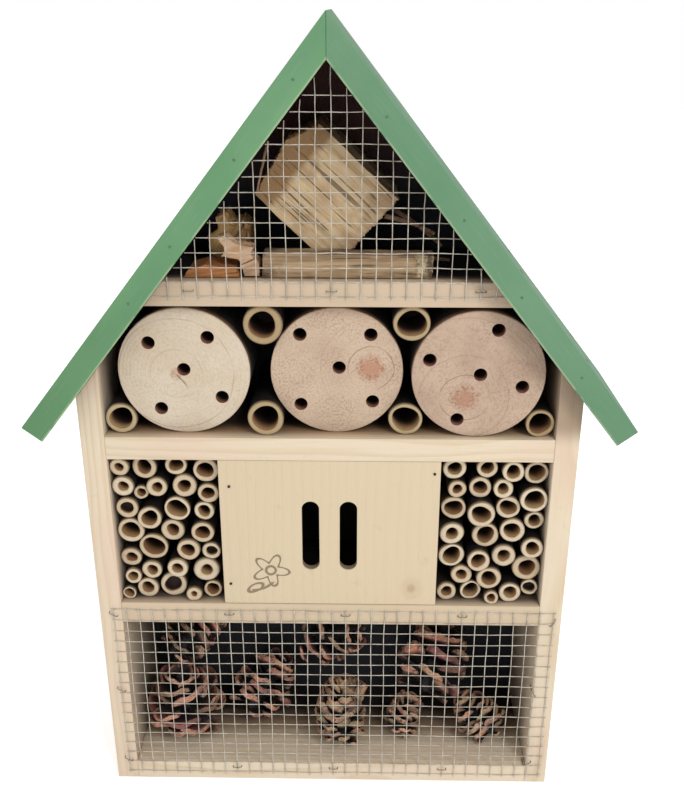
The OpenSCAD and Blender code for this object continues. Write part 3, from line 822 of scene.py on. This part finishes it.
GOLDEN_ANGLE = math.radians(137.508)
SCALE_POINTS, SCALE_FACES = cone_scale()
SCALE_SIDE = np.abs(SCALE_POINTS[:, 1]) / np.abs(SCALE_POINTS[:, 1]).max()
SCALE_EDGE = np.clip(np.maximum((SCALE_POINTS[:, 0] - 0.84) / 0.1, (SCALE_SIDE - 0.8) / 0.2), 0, 1)
CONE_WOOD = cone_wood()
for name, (turn, width, length, count, open_up, ruddy) in CONES.items():
    low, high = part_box(name)
    dice = random.Random(name)
    width, length = width / 1000 * 0.98, length / 1000 * 0.98
    points, faces, tones, ages = [], [], [], []
    for k in range(count):
        t = (k + 0.5) / count * 0.93
        around = k * GOLDEN_ANGLE + dice.uniform(-0.25, 0.25)
        up = -length / 2 + length * (0.06 + 0.84 * t)
        core = width * (0.13 - 0.09 * t)
        reach = (width / 2 * girth(min(t * 0.94 + 0.03, 1)) - core) * dice.uniform(0.78, 1.0)
        slant = math.radians(-8 + 62 * t ** 1.3 + (1 - open_up) * 42) + dice.uniform(-0.22, 0.22)
        size = max(reach, width * 0.10) / max(math.cos(slant), 0.62)
        shape = SCALE_POINTS.copy() * size
        shape[:, 1] *= (1.0 + 0.35 * t) * math.sqrt(54 / count) * dice.uniform(0.8, 1.1)
        shape[:, 2] += 0.22 * dice.uniform(-0.4, 1) * shape[:, 0] ** 2 / size
        shape[:, 2] += 0.45 * dice.uniform(-1, 1) * shape[:, 1] * shape[:, 0] / size
        lean = Matrix.Rotation(-slant - dice.uniform(-0.14, 0.14), 3, "Y")
        placed = shape @ np.array(Matrix.Rotation(around, 3, "Z") @ lean).T
        placed += np.array([core * math.cos(around), core * math.sin(around), up])
        start = len(points)
        points += [tuple(p) for p in placed]
        faces += [tuple(i + start for i in face) for face in SCALE_FACES]
        tones += [min(1.0, max(0.0, ruddy + dice.uniform(-0.45, 0.45)))] * len(SCALE_POINTS)
        ages += [dice.random() ** 1.5] * len(SCALE_POINTS)
    mesh = bpy.data.meshes.new(name)
    mesh.from_pydata(points, [], faces)
    cone = add_piece(name + "_scales", mesh)
    for key, values in (("rim", np.tile(SCALE_POINTS[:, 0], count)),
                        ("edge", np.tile(SCALE_EDGE, count)), ("tone", tones), ("age", ages)):
        attribute = mesh.attributes.new(key, "FLOAT", "POINT")
        attribute.data.foreach_set("value", np.array(values, np.float32))
    deselect()
    bpy.ops.mesh.primitive_uv_sphere_add(segments=16, ring_count=10, radius=0.5)
    core = bpy.context.object
    for v in core.data.vertices:
        t = v.co.z + 0.5
        fat = width * 0.34 * (1 - 0.6 * t)
        v.co = (v.co.x * fat, v.co.y * fat, v.co.z * 0.9 * length)
    core.select_set(True)
    cone.select_set(True)
    bpy.context.view_layer.objects.active = cone
    bpy.ops.object.join()
    cone.rotation_euler = [math.radians(a) for a in turn]
    only(cone)
    settle()
    # it is made to fit the box of its node, in front of the back panel and on the base board
    spread = np.array([v.co for v in cone.data.vertices])
    start, end = spread.min(axis=0), spread.max(axis=0)
    room = [(high - low)[i] / (end - start)[i] for i in range(3)]
    spread = (spread - (start + end) / 2) * min(1.0, *room)
    stand = np.array((low + high) / 2)
    stand[1] = min(stand[1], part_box("back_panel")[0].y - 0.0004 - spread[:, 1].max())
    stand[2] = max(low.z, top_of("base_board") + 0.0001) - spread[:, 2].min()
    cone.data.vertices.foreach_set("co", (spread + stand).ravel())
    fit_in(cone, CONE_WOOD, "pine_cone", name)

# ---- Attic filling ----
# Offcuts laid loose behind the attic mesh: a split block standing on its corner, a rough sawn
# slab in front of it, splintered chips, a lump of bark and a few thin sticks.


def split_face(name, turn, pale, grain, dark, crack_share=0.7, end=None, stain=0.35):
    """Split softwood with its grain along X turned by an angle about Y."""
    f = Finish(name)
    angle = math.radians(turn)
    run = f.x * math.cos(angle) + f.z * math.sin(angle)
    rise = f.z * math.cos(angle) - f.x * math.sin(angle)
    at = f.point(run * 14.0, f.y * 150.0, rise * 150.0)
    streak = f.noise(1.0, 4.0, 0.6, at=at, warp=0.3)
    fibre = f.noise(1.0, 3.0, 0.6, at=f.point(run * 40.0, f.y * 800.0, rise * 800.0))
    cloud = f.noise(46.0, 4.0, 0.6)
    colour = f.mix(streak.band(0.38, 0.66), pale, grain)
    colour = f.mix(fibre.band(0.45, 0.75) * 0.35, colour, dark)
    colour = f.mix(cloud.band(0.46, 0.66) * stain, colour, dark)
    crack = f.noise(1.0, 2.0, 0.5, at=f.point(run * 17.0, f.y * 60.0, rise * 520.0))
    crack = crack.band(0.58, 0.66) * f.noise(38.0, 2.0).band(0.46, 0.6)
    colour = f.mix(crack * crack_share, colour, rgb(78, 54, 34))
    height = streak * 0.5 + fibre * 0.4 - crack
    if end:
        (cut, width), tint = end
        face = 1.0 - (run - cut + (cloud - 0.5) * 0.010).band(-width, width)
        torn = f.noise(150.0, 4.0, 0.7)
        colour = f.mix(face, colour, f.mix(torn.band(0.36, 0.62), tint, dark))
        height = height + face * torn
    return f.done(colour, 0.75 + 0.1 * fibre, height, 0.0010)


def rough_piece(name, node, corners, turn, ridge, jag, seed, voxel=0.0009):
    """A split piece: an outline in X and Z between the front and back of its node, with long
    ridges down its sides and torn fibres at the ends of its grain."""
    low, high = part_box(node)
    deselect()
    bpy.ops.mesh.primitive_circle_add(vertices=len(corners), radius=0.02, fill_type="NGON",
                                      rotation=(math.pi / 2, 0, 0))
    piece = bpy.context.object
    piece.name = name
    settle()
    for v, (x, z) in zip(piece.data.vertices, corners):
        v.co = (x / 1000, low.y, z / 1000)
    mode("EDIT")
    bpy.ops.mesh.select_all(action="SELECT")
    bpy.ops.mesh.extrude_region_move(TRANSFORM_OT_translate={"value": (0, high.y - low.y, 0)})
    bpy.ops.mesh.select_all(action="SELECT")
    bpy.ops.mesh.normals_make_consistent(inside=False)
    mode("OBJECT")
    apply_modifier(piece, "REMESH", mode="VOXEL", voxel_size=voxel)
    c, s = math.cos(math.radians(turn)), math.sin(math.radians(turn))
    grain, across = Vector((c, 0, s)), Vector((-s, 0, c))
    moves = []
    for v in piece.data.vertices:
        along, rise, y = v.co.dot(grain), v.co.dot(across), v.co.y
        flute = noise.noise(Vector((along * 14 + seed, y * 120, rise * 120)))
        step = abs(noise.noise(Vector((along * 9, y * 48 + seed, rise * 48 + seed))))
        torn = abs(noise.noise(Vector((seed, y * 230, rise * 230))))
        torn += 0.3 * abs(noise.noise(v.co * 600))
        end = v.normal.dot(grain) ** 2
        lump = noise.noise(v.co * 70 + Vector((seed, 0, 0)))
        side = ridge * (0.5 + 0.5 * flute + 0.9 * step + 0.35 * lump)
        moves.append(v.co - v.normal * ((1 - end) * side + end * jag * torn))
    piece.data.vertices.foreach_set("co", [c for place in moves for c in place])
    return piece


# outlines of the offcuts in X and Z, in mm
BLOCK = [(-4, 445.5), (-24, 436), (-43, 405), (2.6, 361), (41, 403)]
SPLIT = split_face("split_block_wood", -43, rgb(232, 204, 162), rgb(206, 172, 126),
                   rgb(156, 120, 80), 0.7, end=((-0.2972, 0.0026), rgb(154, 118, 70)), stain=0.5)
fit_in(rough_piece("split_block", "split_wood_block", BLOCK, -43, 0.0016, 0.0056, 3.1),
       SPLIT, "split_wood", "split_wood_block")

SLAB = [(-38, 361), (59, 361), (59.5, 374.5), (-37, 376)]
SAWN = split_face("rough_sawn_slab", 180, rgb(198, 168, 128), rgb(150, 120, 88),
                  rgb(92, 70, 50), 0.6, end=((-0.0500, 0.0015), rgb(218, 196, 150)), stain=0.85)
fit_in(rough_piece("sawn_slab", "flat_wood_slab", SLAB, 0, 0.0005, 0.0012, 7.7),
       SAWN, "sawn_slab", "flat_wood_slab")

ORANGE = split_face("resin_chip", 4, rgb(212, 146, 84), rgb(182, 114, 58), rgb(122, 74, 40))
PALE = split_face("fresh_splinter", 24, rgb(232, 196, 160), rgb(204, 160, 118), rgb(142, 100, 70))
BARK = split_face("bark_lump_skin", 55, rgb(210, 168, 106), rgb(154, 110, 66), rgb(76, 46, 34))
CHIPS = (
    ("orange_chip", "orange_wood_chip", ORANGE, "wood_chip", 4, 0.0007, 0.003, 1.3,
     [(-83, 361), (-50, 361), (-52, 367), (-70, 369), (-80, 366)]),
    ("splintered_chip", "split_wood_chip", PALE, "wood_chip", 24, 0.0012, 0.005, 4.9,
     [(-48.5, 361), (-38.5, 361), (-38.5, 370), (-43, 374), (-41, 379), (-52, 381), (-58, 386),
      (-64, 384), (-59, 377), (-62, 372.5), (-51, 370.5)]),
    ("bark_lump", "bark_piece", BARK, "bark", 55, 0.0024, 0.005, 9.2,
     [(-72, 361), (-46, 361), (-46, 383), (-51, 389), (-57, 387), (-61, 393), (-68, 391),
      (-66, 384), (-73, 380), (-71, 370)]),
)
for name, node, finish, slot, turn, ridge, jag, seed, corners in CHIPS:
    fit_in(rough_piece(name, node, corners, turn, ridge, jag, seed, 0.0007), finish, slot, node)


def bent_rods(name, lines, radius, sides=2):
    """Wires or sticks as round bars along lists of points."""
    curve = bpy.data.curves.new(name, "CURVE")
    curve.dimensions = "3D"
    curve.bevel_depth, curve.bevel_resolution, curve.use_fill_caps = radius, sides, True
    for line in lines:
        spline = curve.splines.new("POLY")
        spline.points.add(len(line) - 1)
        for point, (place, thick) in zip(spline.points, line):
            point.co, point.radius = (*place, 1.0), thick
    only(add_piece(name, curve))
    bpy.ops.object.convert(target="MESH")
    return bpy.context.object


STICKS = (
    ((0.0317, -0.010, 0.3925), (0.0610, -0.006, 0.3815), 1.0),
    ((0.0347, 0.001, 0.3960), (0.0665, 0.004, 0.372), 1.0),
    ((0.0380, 0.010, 0.3627), (0.0720, 0.008, 0.3622), 1.0),
    ((-0.0330, -0.021, 0.4350), (-0.0400, -0.0170, 0.4080), 0.55),
)
sticks = []
for k, (start, end, thick) in enumerate(STICKS):
    dice = random.Random(k)
    line = []
    for i in range(9):
        t = i / 8
        place = [a + (b - a) * t + dice.uniform(-0.0002, 0.0002) for a, b in zip(start, end)]
        place[2] += math.sin(t * math.pi) * 0.0012
        line.append((place, (1.0 - 0.35 * t) * thick))
    sticks.append(line)
rods = bent_rods("attic_sticks", sticks, 0.0016)
TWIG = split_face("weathered_stick", 40, rgb(168, 134, 104), rgb(130, 98, 74), rgb(84, 58, 44))
fit_in(rods, TWIG, "wood_chip", "thin_sticks")

# ---- Wire meshes ----
# Zinc-coated welded mesh with square openings, cut from a roll: level wires behind, upright
# wires in front. Cut tails stand past the last wires, and the sheets are not quite flat.

PITCH, WIRE = 0.0084, 0.00029


def zinc():
    f = Finish("zinc_wire")
    cloud = f.noise(160.0, 3.0)
    fine = f.noise(900.0, 3.0)
    colour = f.mix(cloud.band(0.35, 0.65), rgb(226, 219, 204), rgb(188, 178, 162))
    colour = f.mix(fine.band(0.55, 0.8) * 0.4, colour, rgb(138, 126, 110))
    return f.done(colour, 0.4 + 0.25 * fine, fine, 0.0001, metal=0.15 + 0.2 * cloud)


ZINC = zinc()


def mesh_point(x, z, y, seed):
    """Where a point of a flat sheet of mesh really lies."""
    wave = Vector((x * 30, z * 30, seed))
    ripple = wave * 4.0
    dx = 0.00055 * noise.noise(wave) + 0.00025 * noise.noise(ripple)
    dz = 0.00055 * noise.noise(wave + Vector((5, 5, 5)))
    dz += 0.00025 * noise.noise(ripple + Vector((9, 1, 4)))
    dy = 0.0003 * noise.noise(wave + Vector((1, 7, 3)))
    return (x + dx, y + dy, z + dz)


def wire_sheet(name, node, uprights, levels, seed):
    """uprights are (x, low z, high z) and levels are (z, low x, high x), in order."""
    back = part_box(node)[1].y
    level_y, upright_y = back - WIRE, back - 3 * WIRE
    dice = random.Random(name)
    lines = []
    for x, z0, z1 in uprights:
        count = max(2, int((z1 - z0) / PITCH * 2))
        bend = dice.uniform(-0.0012, 0.0012)
        line = []
        for i in range(count + 1):
            z = z0 + (z1 - z0) * i / count
            spare = max(0.0, (i - count + 2.0) / 2)
            y = upright_y - 0.0003 * spare
            line.append((mesh_point(x + bend * spare * 0.5, z, y, seed), 1.0))
        lines.append(line)
    for z, x0, x1 in levels:
        count = max(2, int((x1 - x0) / PITCH * 2))
        line = []
        for i in range(count + 1):
            x = x0 + (x1 - x0) * i / count
            line.append((mesh_point(x, z, level_y, seed), 1.0))
        lines.append(line)
    sheet = bent_rods(name, lines, WIRE, 1)
    return fit_in(sheet, ZINC, "wire", node)


LEFT, LOWEST, ACROSS, UP, TAIL = -0.141, 0.0065, 34, 16, 0.0015
uprights = [(LEFT + i * PITCH, LOWEST - TAIL, LOWEST + UP * PITCH + TAIL)
            for i in range(ACROSS + 1)]
levels = [(LOWEST + k * PITCH, LEFT - TAIL, LEFT + ACROSS * PITCH + TAIL) for k in range(UP + 1)]
wire_sheet("cone_chamber_mesh", "lower_wire_mesh", uprights, levels, 2.0)
MIDDLE, LOWEST, TOP = 0.0019, 0.3519, 0.4778
uprights = [(x, LOWEST - TAIL, TOP - abs(x) * ROOF_SLOPE)
            for x in (MIDDLE + i * PITCH for i in range(-11, 12))]
levels = [(z, -(TOP - z) / ROOF_SLOPE, (TOP - z) / ROOF_SLOPE)
          for z in (LOWEST + k * PITCH for k in range(14))]
wire_sheet("attic_mesh", "attic_wire_mesh", uprights, levels, 6.0)

# ---- Staples, nails, pins and brads ----
# Round-wire staples hold both meshes to the front edges of the wood. Steel nails hold the
# boards, pins hold the panel; their CAD shapes are right and only get a steel finish.


def steel(name, light, dark, bare=0.6):
    f = Finish(name)
    fine = f.noise(1200.0, 3.0)
    colour = f.mix(fine.band(0.35, 0.7), light, dark)
    return f.done(colour, 0.35 + 0.3 * fine, fine, 0.0001, metal=bare + 0.3 * fine)


STAPLE = steel("staple_steel", rgb(168, 162, 152), rgb(112, 104, 96))
# side view of one staple, and the middle and turn of each, in mm and degrees
STAPLE_PATH = ((-2.9, 7), (-2.9, 0.7), (-2.7, 0.2), (-2.2, 0.0), (2.2, 0.05), (2.7, 0.25),
               (2.9, 0.7), (2.9, 7))
STAPLES = {
    "lower_mesh_staples": (
        (-65.4, 138.5, 0), (10.2, 138.5, 0), (85.8, 138.5, 0), (-65.4, 11.5, 0), (1.8, 11, 0),
        (77.4, 11.5, 0), (-141, 77, 28), (136.2, 77.5, 62), (-141, 137.5, 30), (144.4, 134, -60),
        (-141, 17.5, 30), (136.2, 17.5, -30)),
    "attic_mesh_staples": ((-79, 355.5, 0), (1.9, 355.5, 0), (85.9, 355.5, 0)),
}
for name, places in STAPLES.items():
    low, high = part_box(name)
    lines = []
    for x, z, turn in places:
        c, s = math.cos(math.radians(turn)), math.sin(math.radians(turn))
        lines.append([(((x + u * c) / 1000, low.y + WIRE + v / 1000, (z - u * s) / 1000), 1.0)
                      for u, v in STAPLE_PATH])
    fit_in(bent_rods(name + "_wire", lines, WIRE, 2), STAPLE, "wire", name)
refinish(steel("nail_steel", rgb(140, 136, 130), rgb(92, 86, 80)), "frame_nails",
         "back_panel_nails", "roof_nails", "hanger_screws")
refinish(steel("dark_pin_steel", rgb(74, 64, 56), rgb(44, 36, 32)), "panel_pins")
refinish(steel("stained_brad_steel", rgb(92, 132, 98), rgb(60, 92, 66), 0.0), "roof_brads")

# ---- Hanger plate ----
# A small pressed plate is let in flush at the back and screwed to the edge of the attic shelf,
# so that the house can hang on a wall screw.

refinish(steel("hanger_plate_zinc", rgb(190, 190, 184), rgb(150, 150, 146)), "hanger_plate")

# ---- Floor, light and camera ----
# A pale seamless floor, a large soft key light from the upper right, and even light all round.


def studio_floor():
    f = Finish("pale_floor")
    cloud = f.noise(3.0, 2.0)
    f.shader.inputs["Emission Color"].default_value = (1.0, 1.0, 1.0, 1.0)
    f.shader.inputs["Emission Strength"].default_value = 0.24
    return f.done(f.mix(cloud, (0.91, 0.91, 0.91, 1.0), (0.89, 0.89, 0.89, 1.0)), 0.9)


deselect()
bpy.ops.mesh.primitive_grid_add(x_subdivisions=4, y_subdivisions=4, size=9)
floor = bpy.context.object
floor.name = "studio_floor"
floor.data.materials.append(studio_floor())

world = bpy.data.worlds.new("studio_light")
world.use_nodes = True
world.node_tree.nodes["Background"].inputs["Color"].default_value = (1.0, 1.0, 1.0, 1.0)
world.node_tree.nodes["Background"].inputs["Strength"].default_value = 1.0
bpy.context.scene.world = world
bpy.context.scene.view_settings.view_transform = "Standard"

AIM = Vector((0.0, 0.0, 0.25))
for place, size, power in (((0.75, -1.25, 1.35), 0.55, 15.0), ((-0.9, -1.4, 0.9), 1.2, 2.0)):
    deselect()
    bpy.ops.object.light_add(type="AREA", location=place)
    lamp = bpy.context.object
    lamp.data.size, lamp.data.energy = size, power
    lamp.rotation_euler = (AIM - Vector(place)).to_track_quat("-Z", "Y").to_euler()

deselect()
bpy.ops.object.camera_add(location=(0.0169, -0.5616, 0.5052),
                          rotation=(math.radians(67.5), 0, math.radians(0.99)))
camera = bpy.context.object
camera.data.sensor_width, camera.data.lens = 36.0, 43.1
camera.data.clip_start, camera.data.dof.use_dof = 0.01, False
bpy.context.scene.camera = camera
